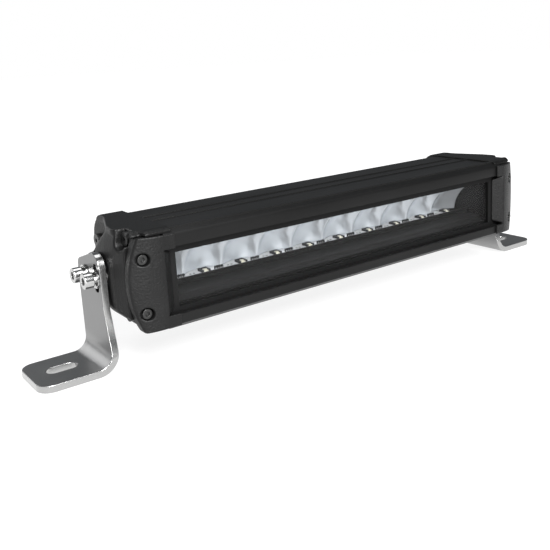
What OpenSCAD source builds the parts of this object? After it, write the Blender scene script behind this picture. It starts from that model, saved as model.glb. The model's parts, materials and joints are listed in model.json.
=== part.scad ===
// LED light bar on two stainless feet.
// +X runs to the right along the bar, +Y to its back and +Z up.  The origin is
// on the surface that the feet stand on, under the middle of the lamp.

/* [Lamp] */
// Width of the lamp between the faces that the brackets bear on
lamp_w = 316; // [260:1:520]
// Depth of the lamp, from the ridge of the caps to their back
lamp_depth = 75; // [68:1:95]
// Height of the end caps
cap_h = 57; // [52:1:72]
// Height of the caps above the surface that the feet stand on
under_gap = 21.5; // [20:0.5:40]

/* [End caps] */
// Width of a cap, from its seam on the housing to its bracket face
cap_w = 27.5; // [26:0.5:34]
// Depth of the recess round the bracket face
side_recess = 13; // [9:0.5:14]
// Height of the cap's deck above the housing
deck_step = 1; // [0.6:0.1:2]
// Height of the housing's underside above the cap's
keel_step = 1.5; // [1:0.1:3]
// Radius of the bowed outer edge of the cap cover, seen from the front
bow_r = 65; // [60:1:120]
// Furthest point of the bowed edge, inside the bracket face
bow_inset = 2.7; // [2:0.1:6]
// Sweep of the cover's face, from its ridge back to the bowed edge
face_sweep = 7; // [4:0.5:9]
// Width of the slanted flank between the cover's ridge and the window
flank_w = 6.4; // [5:0.1:9]
// Thickness of the cover at its bowed edge
cover_t = 5; // [4:0.5:7]
// Free gap between fixed pieces
fit_gap = 0.15; // [0.1:0.05:0.3]

/* [Housing] */
// Thickness of the top and bottom walls
wall_t = 3.5; // [3:0.5:5]
// Thickness of the wall that the fins stand on
back_wall_t = 4.5; // [3:0.5:6]
// Length of the cooling fins
fin_len = 17.5; // [12:0.5:22]
// Thickness of one cooling fin
fin_t = 2; // [1.6:0.1:3]
// Number of cooling fins between the rounded shoulders
fin_count = 4; // [3:1:5]
// Thickness of the rounded shoulders above and below the fins
shoulder_t = 6; // [5:0.5:8]
// Height of a lip above and below the window
lip_h = 5.6; // [4:0.1:7]
// Lower edge of the window above the underside of the housing
window_z = 7.9; // [7:0.1:12]
// Height of the window between the lips
window_h = 37.2; // [32:0.1:48]
// Thickness of the shelf under the light board
shelf_t = 2.5; // [2:0.1:4]
// Depth that the housing enters each cap
housing_insert = 5.5; // [4:0.5:7]

/* [Optics] */
// Thickness of the lens
lens_t = 3; // [2:0.1:4]
// Width of the seal's lip round the lens
seal_lip = 4.4; // [3:0.1:6]
// Thickness of the seal's lips
seal_t = 1.1; // [0.8:0.1:2]
// Distance between neighbouring reflector cups
cup_pitch = 26.4; // [22:0.1:32]
// Focal length of a reflector cup
cup_focus = 8; // [6:0.5:10]
// Height of the reflector strip
cup_h = 28.2; // [24:0.1:30]
// Height of the light board's top above the window's lower edge
board_rise = 7.3; // [6:0.1:11]
// Thickness of the circuit boards
board_t = 1.6; // [1:0.1:2]
// Thickness of the thermal pad
pad_t = 0.5; // [0.3:0.1:1]
// Thickness of the bezel and the side trims
trim_t = 1.2; // [1:0.1:2]

/* [Brackets] */
// Thickness of the bracket plate
plate_t = 4; // [3:0.5:5]
// Width of the upright part of the bracket
upright_w = 31; // [28:1:36]
// Width of the foot
foot_w = 37; // [34:1:48]
// Reach of the foot beyond the upright's outer face
foot_reach = 39.7; // [34:0.1:60]
// Inside radius of the bend
bend_r = 8; // [6:0.5:12]
// Radius of the foot's outer corners
foot_corner = 8; // [4:0.5:12]
// Width of the slot in the foot
foot_slot_w = 8.5; // [6.5:0.5:10.5]
// Length of the slot in the foot, end to end
foot_slot_len = 17; // [14:0.5:24]
// Height of the pivot above the underside of the cap
pivot_up = 29.5; // [26:0.5:36]
// Distance of the pivot behind the middle of the lamp
pivot_back = 10; // [4:0.5:14]
// Distance from the pivot to the clamp screw
clamp_r = 15; // [14:0.5:20]
// Tilt of the lamp each way
tilt = 20; // [10:1:22]
// Gap between a bracket and what it bears on
run_gap = 0.3; // [0.2:0.05:0.5]

/* [Fasteners] */
// Diameter of the pivot and clamp screws
screw_d = 5; // [4:1:6]
// Radial clearance of the pivot screw in its bracket
pivot_fit = 0.05; // [0.02:0.01:0.09]
// Diameter of the screws that hold a cap to the housing
cap_screw_d = 4; // [3:0.5:5]
// Diameter of the screws that hold a cover to its cap
cover_screw_d = 3; // [2.5:0.5:4]
// Bore of the cable gland's thread
gland_d = 12; // [10:1:16]

/* [Hidden] */

$fn = 48;
eps = 0.01;
past = 1;                                     // how far a cutter runs past a face
arc_steps = 8;

black = "#26272a";
satin = "#303136";
rubber = "#141414";
stainless = "#b9b9b6";
mirror_metal = "#dfe6ee";

// Planes of the lamp
front_y = -lamp_depth / 2;
back_y = lamp_depth / 2;
cap_z0 = under_gap;
cap_z1 = cap_z0 + cap_h;
face_x = lamp_w / 2;                          // bracket face
seam_x = face_x - cap_w;                      // seam between cap and housing
recess_x = face_x - side_recess;
pivot_y = pivot_back;
pivot_z = cap_z0 + pivot_up;

// Housing section
lip_setback = 1.5;
lip_t = 4.7;
house_y0 = front_y + lip_setback;
house_z0 = cap_z0 + keel_step;
house_z1 = cap_z1 - deck_step;
window_z0 = house_z0 + window_z;
window_z1 = window_z0 + window_h;
lip_z0 = window_z0 - lip_h + 0.4;
lip_z1 = window_z1 + lip_h;
slot_y0 = house_y0 + lip_t;                   // channel for the lens and its seal
slot_len = lens_t + 2 * seal_t + 2 * fit_gap;
slot_y1 = slot_y0 + slot_len;
channel_h = 3;
slot_z0 = window_z0 - channel_h;
slot_z1 = window_z1 + channel_h;
fin_y1 = back_y - 1.5;
fin_y0 = fin_y1 - fin_len;
cavity_y1 = fin_y0 - back_wall_t;
cavity_z0 = house_z0 + wall_t;
cavity_z1 = house_z1 - wall_t;
house_x = seam_x + housing_insert;            // end of the housing
gasket_t = 1;
cap_floor_x = house_x + gasket_t;             // inner face of the cap's floor
shoulder_r = 16;

// Light board, shelf and cups
board_z1 = window_z0 + board_rise;
board_z0 = board_z1 - board_t;
shelf_z1 = board_z0 - pad_t;
shelf_z0 = shelf_z1 - shelf_t;
cup_back_y = cavity_y1 - 0.5;
cup_vertex_y = cup_back_y - 3.6;
led_y = cup_vertex_y - cup_focus;
shelf_y0 = led_y - 9.3;
ledge_y = shelf_y0 - fit_gap - trim_t;         // black ledge before the light board
ledge_z1 = board_z1 + 2.8;
cup_depth = 28.5;
cup_count = floor(2 * (house_x - 3.6) / cup_pitch);
strip_x = cup_count * cup_pitch / 2;
cup_z0 = board_z1 + fit_gap;
trim_x = strip_x + fit_gap;

// Positions of screws in the side of a cap
fin_pitch = (house_z1 - house_z0 - 2 * shoulder_t + fin_t) / (fin_count + 1);
function fin_z(i) = house_z0 + shoulder_t - fin_t / 2 + (i + 1) * fin_pitch;
notch_y = front_y + 16;                      // centre of the notch that holds the top front screw
cap_screw_places = [[notch_y, house_z1 - 3.8], [fin_y0 + 8.5, fin_z(fin_count - 1)],
                    [fin_y0 + 8.5, fin_z(0)], [-8, cavity_z0 + 1]];
cover_screw_zs = [cap_z0 + 13.4, cap_z1 - 14.3];
cover_screw_x = face_x - 10;
clamp_y = pivot_y - clamp_r;

// Screws and washers
head_r = 0.85 * screw_d;
head_h = screw_d;
flat_washer_t = 1;
flat_washer_r = screw_d;
spring_washer_t = 1.3;
spring_washer_r = 0.8 * screw_d;
plate_x0 = face_x + run_gap;
plate_x1 = plate_x0 + plate_t;
washer_x = plate_x1 + run_gap;
head_x = washer_x + flat_washer_t + spring_washer_t;
insert_len = 12;
insert_r = 0.5 * screw_d + 1;
thread_len = 14;
slot_fit = 0.25;
slot_half_w = screw_d / 2 + slot_fit;

// Bracket outline
foot_x1 = plate_x1 + foot_reach;
upright_y0 = pivot_y - 20;
upright_y1 = upright_y0 + upright_w;
foot_y1 = upright_y1;
foot_y0 = foot_y1 - foot_w;
foot_slot_x = foot_x1 - 18;
foot_slot_y = (foot_y0 + foot_y1) / 2 + 0.5;

function arc(y, z, r, a0, a1, n = arc_steps) =
    [for (i = [0:n]) let (a = a0 + (a1 - a0) * i / n) [y + r * cos(a), z + r * sin(a)]];
// Front surface of the cover at a distance from the middle
function face_y(x) = front_y + face_sweep * pow(max(0, x - ridge_x) / (bow_x - ridge_x), 1.6);

// Extrude an outline in Y and Z along X
module along_x(x0, x1) {
    translate([x0, 0, 0]) rotate([90, 0, 90]) linear_extrude(x1 - x0) children();
}
// Extrude an outline in X and Z along Y
module along_y(y0, y1) {
    translate([0, y1, 0]) rotate([90, 0, 0]) linear_extrude(y1 - y0) children();
}
module along_z(z0, z1) {
    translate([0, 0, z0]) linear_extrude(z1 - z0) children();
}
module box(a, b) {
    translate(a) cube(b - a);
}
module rod_x(x0, x1, y, z, r) {
    translate([x0, y, z]) rotate([0, 90, 0]) cylinder(h = x1 - x0, r = r);
}
module rod_y(y0, y1, x, z, r) {
    translate([x, y0, z]) rotate([-90, 0, 0]) cylinder(h = y1 - y0, r = r);
}
module rod_z(z0, z1, x, y, r) {
    translate([x, y, z0]) cylinder(h = z1 - z0, r = r);
}
// Everything is drawn for the right-hand end and mirrored for the left
module left() {
    mirror([1, 0, 0]) children();
}

// ---- Housing ----

// Envelope of the housing, grown by g for the pocket that takes it
module house_envelope(g = 0) {
    polygon(concat(
        [[house_y0 - g, lip_z0 - g], [house_y0 - g, lip_z1 + g],
         [house_y0 + 0.9 - g / 2, lip_z1 + 1.9 + g], [house_y0 + 4, house_z1 + g]],
        arc(fin_y1 - shoulder_r, house_z1 - shoulder_r, shoulder_r + g, 90, 0),
        arc(fin_y1 - shoulder_r, house_z0 + shoulder_r, shoulder_r + g, 0, -90),
        [[house_y0 + 3.5, house_z0 - g]]));
}
module fin_gaps() {
    for (i = [0:fin_count])
        translate([fin_y0, fin_z(i - 1) + fin_t / 2]) square([fin_len + past, fin_pitch - fin_t]);
}
module house_section() {
    difference() {
        house_envelope();
        translate([house_y0 - past, window_z0]) square([lip_t + 2 * past, window_h]);
        translate([slot_y0, slot_z0]) square([slot_len, slot_z1 - slot_z0]);
        translate([slot_y1 - eps, shelf_z1]) square([cavity_y1 - slot_y1 + eps, window_z1 - shelf_z1]);
        translate([slot_y1 + 3, shelf_z1]) square([cavity_y1 - slot_y1 - 3, cavity_z1 - shelf_z1]);
        translate([slot_y1 - eps, window_z0]) square([shelf_y0 - slot_y1 + eps, shelf_z1 - window_z0 + eps]);
        translate([slot_y1 + 3, cavity_z0]) square([cavity_y1 - slot_y1 - 3, shelf_z0 - cavity_z0]);
        translate([slot_y1 + 3, cavity_z0]) square([shelf_y0 - slot_y1 - 3, shelf_z1 - cavity_z0]);
        fin_gaps();
    }
}
// Bosses round the cap screws
port_r = cap_screw_d / 2 + 1.4;
port_len = 24;
module screw_ports() {
    for (p = cap_screw_places, s = [-1, 1])
        rod_x(s * (house_x - port_len / 2) - port_len / 2, s * (house_x - port_len / 2) + port_len / 2,
              p[0], p[1], port_r);
}
module screw_port_holes() {
    for (p = cap_screw_places, s = [-1, 1])
        rod_x(s * house_x - 16, s * house_x + 16, p[0], p[1], cap_screw_d / 2);
}
// Low ribs that run along the top of the housing
rib_w = 1.4;
rib_h = 0.6;
front_rib_w = 2.6;
ribs = [[house_y0 + 3.4, front_rib_w], [house_y0 + 26, rib_w], [house_y0 + 38, rib_w]];
module top_ribs() {
    for (rib = ribs) box([-seam_x, rib[0], house_z1 - 1], [seam_x, rib[0] + rib[1], house_z1 + rib_h]);
}
gland_x = strip_x - cup_pitch;                // behind the land between two cups
gland_z = board_z1 + 16.8;
vent_x = -gland_x;
module back_openings() {
    for (x = [gland_x, vent_x]) {
        rod_y(cavity_y1 - past, fin_y0 + past, x, gland_z, gland_d / 2);
        rod_y(fin_y0, fin_y1 + past, x, gland_z, gland_d);
    }
}
module housing() {
    color(black) difference() {
        union() {
            along_x(-house_x, house_x) house_section();
            screw_ports();
            top_ribs();
        }
        screw_port_holes();
        back_openings();
        driver_screw_holes();
        lead_passage(shelf_z0 - past, shelf_z1 + past);
    }
}

// ---- Lens, seal and optics ----

lens_x = house_x - 1.2;
lens_y0 = slot_y0 + fit_gap + seal_t;
lens_z0 = slot_z0 + 1.2;
lens_z1 = slot_z1 - 1.2;
seal_x = house_x - fit_gap;
seal_out_z0 = slot_z0 + fit_gap;
seal_out_z1 = slot_z1 - fit_gap;
open_x = seam_x - 2.6;                        // clear opening inside the seal's lip
open_z0 = window_z0 + seal_lip - 1.9;
open_z1 = window_z1 - seal_lip;
module lens() {
    color([0.85, 0.9, 0.95, 0.35])
        box([-lens_x, lens_y0, lens_z0], [lens_x, lens_y0 + lens_t, lens_z1]);
}
module lens_seal() {
    color(rubber) difference() {
        box([-seal_x, lens_y0 - seal_t, seal_out_z0], [seal_x, lens_y0 + lens_t + seal_t, seal_out_z1]);
        box([-lens_x, lens_y0, lens_z0], [lens_x, lens_y0 + lens_t, lens_z1]);
        box([-open_x, lens_y0 - past - seal_t, open_z0], [open_x, lens_y0 + lens_t + seal_t + past, open_z1]);
    }
}
// Half-round cups, each a paraboloid about a line that runs forward through its light source
cup_rings = 9;
cup_max_r = 32;
module cup_cut() {
    rotate([90, 0, 0]) rotate_extrude($fn = 48) polygon(concat(
        [for (i = [0:cup_rings]) let (r = cup_max_r * i / cup_rings) [r, r * r / (4 * cup_focus)]],
        [[0, cup_max_r * cup_max_r / (4 * cup_focus)]]));
}
module reflector_strip() {
    color(mirror_metal) difference() {
        box([-strip_x, cup_back_y - cup_depth, cup_z0], [strip_x, cup_back_y, cup_z0 + cup_h]);
        for (i = [0:cup_count - 1])
            translate([(i - (cup_count - 1) / 2) * cup_pitch, cup_vertex_y, cup_z0 - 0.1]) cup_cut();
        for (x = [gland_x, vent_x])
            rod_y(cup_back_y - pocket_depth, cup_back_y + past, x, gland_z, gland_d / 2 + 3.2);
        box([gland_x - passage_r, cup_back_y - pocket_depth, cup_z0 - past],
            [gland_x + passage_r, cup_back_y + past, gland_z]);
    }
}
pocket_depth = 5.4;                           // room behind the cups for the gland's nut
passage_r = 3.2;                              // way up for the leads, from the driver to the gland
lead_y = cup_back_y - pocket_depth + 1.1;
module lead_passage(z0, z1) {
    rod_z(z0, z1, gland_x, cup_back_y - pocket_depth / 2, passage_r);
}
board_x = strip_x - 10;
board_screw_y = shelf_y0 + 3.2;
board_screw_xs = [-board_x + 8, 0, board_x - 8];
module light_board() {
    color("white") difference() {
        box([-board_x, shelf_y0, board_z0], [board_x, cup_back_y, board_z1]);
        for (x = board_screw_xs) rod_z(board_z0 - past, board_z1 + past, x, board_screw_y, 1.6);
        lead_passage(board_z0 - past, board_z1 + past);
    }
}
led_size = 3.4;
led_h = 0.8;
module leds() {
    half = led_size / 2;
    color("#f4e9b0") for (i = [0:cup_count - 1]) {
        x = (i - (cup_count - 1) / 2) * cup_pitch;
        box([x - half, led_y - half, board_z1], [x + half, led_y + half, board_z1 + led_h]);
        rod_z(board_z1 + led_h, board_z1 + led_h + 0.6, x, led_y, half - 0.3);
    }
}
module light_board_screws() {
    color(stainless) for (x = board_screw_xs) {
        rod_z(shelf_z1 + 0.1, board_z1, x, board_screw_y, 1.45);
        rod_z(board_z1, board_z1 + 1.2, x, board_screw_y, 2.6);
    }
}
module thermal_pad() {
    color("#8c93a0") difference() {
        box([-board_x, shelf_y0 + 0.5, shelf_z1], [board_x, cup_back_y - 1, board_z0]);
        for (x = board_screw_xs) rod_z(shelf_z1 - past, board_z0 + past, x, board_screw_y, 1.6);
        lead_passage(shelf_z1 - past, board_z0 + past);
    }
}
bezel_drop = 1.3;
ledge_h = 3.4;
module lower_bezel() {
    y1 = shelf_y0 - fit_gap;
    y0 = slot_y1 + fit_gap;
    ym = y0 + 5;
    z1 = ledge_z1 - ledge_h;
    z2 = z1 - bezel_drop;
    z3 = open_z0 + 1;
    color(satin) along_x(-strip_x, strip_x) polygon([
        [y1, ledge_z1], [ledge_y, ledge_z1], [ledge_y, z1], [ym, z2], [y0, z3], [y0, window_z0 + fit_gap], [y0 + trim_t, window_z0 + fit_gap],
        [y0 + trim_t, z3 - 0.8], [ym + 0.4, z2 - trim_t], [y1, z1 - trim_t]]);
}
module side_trim() {
    y1 = cup_back_y;
    y0 = slot_y1 + fit_gap;
    color(satin) difference() {
        box([trim_x, y0, shelf_z1 + fit_gap], [trim_x + trim_t, y1, window_z1 - fit_gap]);
        for (p = cap_screw_places) rod_x(trim_x - past, trim_x + trim_t + past, p[0], p[1], port_r + fit_gap);
    }
    color(satin)
        box([trim_x, y0, window_z0 + fit_gap], [trim_x + trim_t, shelf_y0 - fit_gap, shelf_z1 + fit_gap]);
}
module side_trim_right() { side_trim(); }
module side_trim_left() { left() side_trim(); }

// ---- Driver ----

driver_x = 55;
driver_y0 = shelf_y0 + 0.6;
driver_y1 = cavity_y1 - 1.5;
pillar_h = 1;
driver_z0 = cavity_z0 + pillar_h;
driver_z1 = driver_z0 + 1.2;
driver_screw_places = [for (x = [-driver_x + 5, driver_x - 5], y = [driver_y0 + 4, driver_y1 - 4]) [x, y]];
driver_screw_r = 1.5;
module driver_screw_holes() {
    for (p = driver_screw_places) rod_z(house_z0 + 1, cavity_z0 + past, p[0], p[1], driver_screw_r - 0.25);
}
module driver_board() {
    color("#1d5a33") difference() {
        box([-driver_x, driver_y0, driver_z0], [driver_x, driver_y1, driver_z1]);
        for (p = driver_screw_places) rod_z(driver_z0 - past, driver_z1 + past, p[0], p[1], driver_screw_r);
    }
}
module driver_parts() {
    z = driver_z1;
    ym = (driver_y0 + driver_y1) / 2;
    color("#3a3a3a") {
        box([-12, ym - 5, z], [-2, ym + 5, z + 3.4]);
        box([6, ym - 3.5, z], [13, ym + 3.5, z + 1.4]);
        box([22, ym - 2.5, z], [28, ym + 2.5, z + 1.4]);
    }
    color("silver") for (x = [-38, -28]) rod_z(z, z + 3.8, x, ym, 3.2);
    color("ivory") box([36, ym - 4, z], [43, driver_y1, z + 4.2]);
}
// Pillars under the driver board with the screws' shanks through them
module driver_pillars() {
    color(stainless) for (p = driver_screw_places) {
        rod_z(cavity_z0, driver_z0, p[0], p[1], 2.6);
        rod_z(driver_z0, driver_z1, p[0], p[1], driver_screw_r - 0.1);
        rod_z(driver_z1, driver_z1 + 1.2, p[0], p[1], 2.5);
        rod_z(cavity_z0 - 2, cavity_z0, p[0], p[1], driver_screw_r - 0.3);
    }
}
lead_r = 0.8;
module internal_leads() {
    z = driver_z1 + 2.95;
    for (s = [-1, 1]) color(s < 0 ? "crimson" : "black") {
        rod_x(43, gland_x + 1.2 * s, lead_y, z + lead_r * 1.1 * s, lead_r);
        rod_z(z + lead_r * 1.1 * s, gland_z, gland_x + 1.2 * s, lead_y, lead_r);
    }
}

// ---- Gland and vent ----

module gland_seal() {
    color(rubber) difference() {
        rod_y(fin_y0, fin_y0 + 1.2, gland_x, gland_z, gland_d / 2 + 3.5);
        rod_y(fin_y0 - past, fin_y0 + 1.2 + past, gland_x, gland_z, gland_d / 2);
    }
}
cable_r = 3.1;
module cable_gland() {
    y = fin_y0 + 1.2;
    color(rubber) difference() {
        union() {
            rod_y(cavity_y1 - 3.4, y, gland_x, gland_z, gland_d / 2 - 0.1);
            translate([gland_x, y, gland_z]) rotate([-90, 0, 0]) cylinder(h = 5, r = gland_d / 2 + 3.5, $fn = 6);
            rod_y(y + 5, y + 11, gland_x, gland_z, gland_d / 2 + 0.8);
        }
        rod_y(cavity_y1 - 6, y + 12, gland_x, gland_z, cable_r);
    }
}
module gland_nut() {
    color(stainless) difference() {
        translate([gland_x, cavity_y1 - 3.2, gland_z]) rotate([-90, 0, 0])
            cylinder(h = 3.1, r = gland_d / 2 + 2.5, $fn = 6);
        rod_y(cavity_y1 - 5, cavity_y1 + past, gland_x, gland_z, gland_d / 2 - 0.05);
    }
}
module vent_plug() {
    color(black) {
        rod_y(cavity_y1 - 2, fin_y0, vent_x, gland_z, gland_d / 2 - 0.1);
        rod_y(fin_y0, fin_y0 + 2.4, vent_x, gland_z, gland_d / 2 + 2.6);
        rod_y(fin_y0 + 2.4, fin_y0 + 4, vent_x, gland_z, gland_d / 2);
    }
}

// ---- Caps ----

// Side view of a cap
cap_corner = 15;
module cap_side() {
    polygon(concat(
        [[front_y + cover_t + 1.6, cap_z0 + 3], [front_y + cover_t + 1.6, cap_z1 - 2],
         [front_y + 3, cap_z1 - 1.4], [front_y + 4.5, cap_z1 - 0.9], [front_y + 11, cap_z1]],
        arc(back_y - cap_corner, cap_z1 - cap_corner, cap_corner, 90, 0),
        arc(back_y - cap_corner - 3, cap_z0 + cap_corner + 3, cap_corner + 3, 0, -90),
        [[front_y + 12, cap_z0]]));
}
// Side view of the proud part that carries the bracket face
module shield_side() {
    polygon([[front_y + cover_t + 1.6, cap_z0 + 6], [front_y + cover_t + 1.6, cap_z1 - 2], [front_y + 9, cap_z1],
             [pivot_y - 15, cap_z1 - 1], [pivot_y, cap_z1 - 16], [pivot_y + 10.5, pivot_z + 8],
             [pivot_y + 11.5, pivot_z - 7], [pivot_y + 2, pivot_z - 14], [pivot_y - 9, pivot_z - 16],
             [front_y + 11, cap_z0 + 8.5]]);
}
// Plan of the cap behind its cover
module cap_plan() {
    y = front_y + face_sweep + cover_t;
    polygon([[seam_x, front_y + 2], [face_x - 7, front_y + 2], [face_x - bow_inset - 1, y], [face_x - 1.2, y + 10],
             [face_x, pivot_y - 16], [face_x, back_y], [seam_x, back_y]]);
}
// Centre of the bowed edge, seen from the front
bow_z = (cap_z0 + cap_z1) / 2;
bow_x = face_x - bow_inset;
ridge_x = seam_x + flank_w + 0.5;             // ridge between the cover's face and its flank
deck_t = 2.6;
module cap_deck() {
    polygon([[seam_x, front_y + 3], [face_x - 11, front_y + 3], [face_x - 9.5, front_y + 9],
             [face_x - 4, front_y + 13.5], [face_x - 2.5, front_y + 21], [face_x - 4, front_y + 33],
             [recess_x, back_y - 18], [recess_x, back_y - 8], [seam_x, back_y - 8]]);
}
notch_r = 4;
notch_z = cap_z1 - 6.2;
module cap_notch() {
    rod_x(face_x - 9, face_x + past, notch_y, notch_z, notch_r);
    box([face_x - 9, notch_y - notch_r, notch_z], [face_x + past, notch_y + notch_r, cap_z1 + past]);
}
module end_cap() {
    color(black) difference() {
        union() {
            along_x(seam_x, recess_x) cap_side();
            intersection() {
                along_x(seam_x, face_x) shield_side();
                along_z(cap_z0, cap_z1) cap_plan();
                rod_y(front_y - past, back_y, bow_x - bow_r, bow_z, bow_r + bow_inset + 1.5, $fn = 128);
            }
            intersection() {
                along_z(cap_z1 - deck_t, cap_z1) cap_deck();
                along_x(seam_x, face_x) cap_side();
            }
        }
        along_x(seam_x - past, cap_floor_x) house_envelope(fit_gap);
        cap_notch();
        for (p = cap_screw_places) rod_x(cap_floor_x - past, face_x + past, p[0], p[1], cap_screw_d / 2 + 0.2);
        for (i = [1:3])
            rod_x(recess_x, face_x + past, cap_screw_places[i][0], cap_screw_places[i][1], cap_screw_d + 0.6);
        for (y = [pivot_y, clamp_y]) {
            rod_x(face_x - insert_len, face_x + past, y, pivot_z, insert_r + 0.02);
            rod_x(face_x - thread_len - 2, face_x, y, pivot_z, screw_d / 2 + 0.1);
        }
        for (z = cover_screw_zs)
            rod_y(front_y - past, cover_head_y + cover_screw_len + 1, cover_screw_x, z, cover_screw_d / 2);
        cover_space();
    }
}
module end_cap_right() { end_cap(); }
module end_cap_left() { left() end_cap(); }

// The cover: a bowed face with two tabs over the housing's lips and a flank beside the window
cover_z0 = cap_z0 + 2.6;
cover_z1 = cap_z1 - 2.9;
flank_z0 = window_z0 + 1;
flank_z1 = window_z1 - 0.5;
cover_steps = 8;
cover_back_y = front_y + cover_t + 1.1;
cover_edge_y = front_y + face_sweep + cover_t;
cover_face = [for (i = [0:cover_steps])
    let (x = ridge_x + (bow_x + 1 - ridge_x) * i / cover_steps) [x, face_y(x)]];
cover_back = [[bow_x + 1, cover_edge_y], [bow_x - 4, cover_edge_y], [bow_x - 10, cover_back_y],
              [house_x + 0.4, cover_back_y]];
module tab_plan() {
    polygon(concat([[seam_x, house_y0 - fit_gap], [seam_x, front_y]], cover_face, cover_back,
                   [[house_x + 0.4, house_y0 - fit_gap]]));
}
module flank_plan() {
    polygon(concat([[seam_x + 0.5, slot_y0 - 0.2]], cover_face, cover_back, [[house_x + 0.4, slot_y0 - 0.2]]));
}
module cap_cover() {
    color(satin) difference() {
        intersection() {
            union() {
                along_z(cover_z0, flank_z0) tab_plan();
                along_z(flank_z0, flank_z1) flank_plan();
                along_z(flank_z1, cover_z1) tab_plan();
            }
            rod_y(front_y - past, back_y, bow_x - bow_r, bow_z, bow_r, $fn = 128);
        }
        cover_bottom_cut();
        for (z = cover_screw_zs) {
            rod_y(front_y - past, cover_edge_y + past, cover_screw_x, z, cover_screw_d / 2 + 0.2);
            rod_y(front_y - past, cover_head_y, cover_screw_x, z, cover_screw_d + 0.4);
        }
    }
}
// Chamfer under the cover, which follows the housing's lip
module cover_bottom_cut() {
    along_x(seam_x - past, face_x + past) polygon([
        [front_y - past, cover_z0 - past], [front_y + 5.5, cover_z0 - past], [front_y - past, cover_z0 + 1.6]]);
}
// Room that the cap leaves for its cover
module cover_space() {
    along_z(cover_z0 - past - 4, cover_z1 + fit_gap) polygon([
        [seam_x - past, front_y - past], [face_x + past, front_y - past], [face_x + past, cover_edge_y + fit_gap],
        [bow_x - 4, cover_edge_y + fit_gap], [bow_x - 10, cover_back_y + fit_gap],
        [seam_x - past, cover_back_y + fit_gap]]);
}
cover_head_y = face_y(cover_screw_x) + 2.6;
module cap_cover_right() { cap_cover(); }
module cap_cover_left() { left() cap_cover(); }

module cap_gasket() {
    color(rubber) difference() {
        along_x(house_x, cap_floor_x) intersection() {
            house_envelope(-0.4);
            translate([cover_back_y + 2 * fit_gap, cap_z0]) square([lamp_depth, cap_h]);
        }
        for (p = cap_screw_places) rod_x(house_x - past, cap_floor_x + past, p[0], p[1], cap_screw_d / 2 + 0.2);
    }
}
module cap_gasket_right() { cap_gasket(); }
module cap_gasket_left() { left() cap_gasket(); }

// ---- Screws ----

module hex_socket(x0, x1, y, z, r) {
    translate([x0, y, z]) rotate([0, 90, 0]) cylinder(h = x1 - x0, r = r, $fn = 6);
}
module cap_screws() {
    seats = [face_x - 9, recess_x, recess_x, recess_x];
    color(stainless) for (i = [0:3]) {
        p = cap_screw_places[i];
        difference() {
            union() {
                rod_x(house_x - 9, seats[i], p[0], p[1], cap_screw_d / 2 - 0.1);
                rod_x(seats[i], seats[i] + 2.6, p[0], p[1], cap_screw_d - 0.2);
            }
            hex_socket(seats[i] + 1, seats[i] + 2.6 + past, p[0], p[1], cap_screw_d / 3);
        }
    }
}
module cap_screws_right() { cap_screws(); }
module cap_screws_left() { left() cap_screws(); }

cover_head_h = 1.9;
cover_screw_len = 12;
module cover_screws() {
    color("#44464a") for (z = cover_screw_zs) difference() {
        union() {
            rod_y(cover_head_y, cover_head_y + cover_screw_len, cover_screw_x, z, cover_screw_d / 2 - 0.1);
            rod_y(cover_head_y - cover_head_h, cover_head_y, cover_screw_x, z, cover_screw_d - 0.25);
        }
        translate([cover_screw_x, cover_head_y - cover_head_h - past, z]) rotate([-90, 0, 0])
            cylinder(h = past + 1.3, r = 1.3, $fn = 6);
    }
}
module cover_screws_right() { cover_screws(); }
module cover_screws_left() { left() cover_screws(); }

module inserts() {
    color("goldenrod") for (y = [pivot_y, clamp_y]) difference() {
        rod_x(face_x - insert_len, face_x - 0.2, y, pivot_z, insert_r);
        rod_x(face_x - insert_len - past, face_x + past, y, pivot_z, screw_d / 2 + 0.02);
    }
}
module inserts_right() { inserts(); }
module inserts_left() { left() inserts(); }

module socket_screw(y) {
    color(stainless) difference() {
        union() {
            rod_x(face_x - thread_len, head_x, y, pivot_z, screw_d / 2);
            rod_x(head_x, head_x + head_h, y, pivot_z, head_r);
        }
        hex_socket(head_x + head_h / 2, head_x + head_h + past, y, pivot_z, screw_d * 0.46);
    }
}
module pivot_screw_right() { socket_screw(pivot_y); }
module pivot_screw_left() { left() socket_screw(pivot_y); }
module clamp_screw_right() { socket_screw(clamp_y); }
module clamp_screw_left() { left() socket_screw(clamp_y); }

module washers(x0, t, r) {
    color(stainless) for (y = [pivot_y, clamp_y]) difference() {
        rod_x(x0, x0 + t, y, pivot_z, r);
        rod_x(x0 - past, x0 + t + past, y, pivot_z, screw_d / 2 + 0.1);
    }
}
module flat_washers_right() { washers(washer_x, flat_washer_t, flat_washer_r); }
module flat_washers_left() { left() flat_washers_right(); }
module spring_washers_right() { washers(washer_x + flat_washer_t, spring_washer_t, spring_washer_r); }
module spring_washers_left() { left() spring_washers_right(); }

// ---- Brackets ----

head_z1 = pivot_z + 13.5;
flare_z = pivot_z - 24;
module upright_outline() {
    polygon(concat(
        [[foot_y1, 0], [foot_y1, bend_r + plate_t], [upright_y1, pivot_z - 8]],
        arc(upright_y1 - 5.5, pivot_z + 3, 5, 0, 65),
        arc(upright_y0 + 8.2, head_z1 - 8, 8, 72, 180),
        [[upright_y0, flare_z + 6], [foot_y0 + 1.6, bend_r + plate_t + 4], [foot_y0, bend_r + plate_t - 4],
         [foot_y0, 0]]));
}
module foot_outline() {
    polygon(concat(
        [[plate_x0, foot_y0]], arc(foot_x1 - foot_corner, foot_y0 + foot_corner, foot_corner, -90, 0),
        arc(foot_x1 - foot_corner, foot_y1 - foot_corner, foot_corner, 0, 90), [[plate_x0, foot_y1]]));
}
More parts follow.
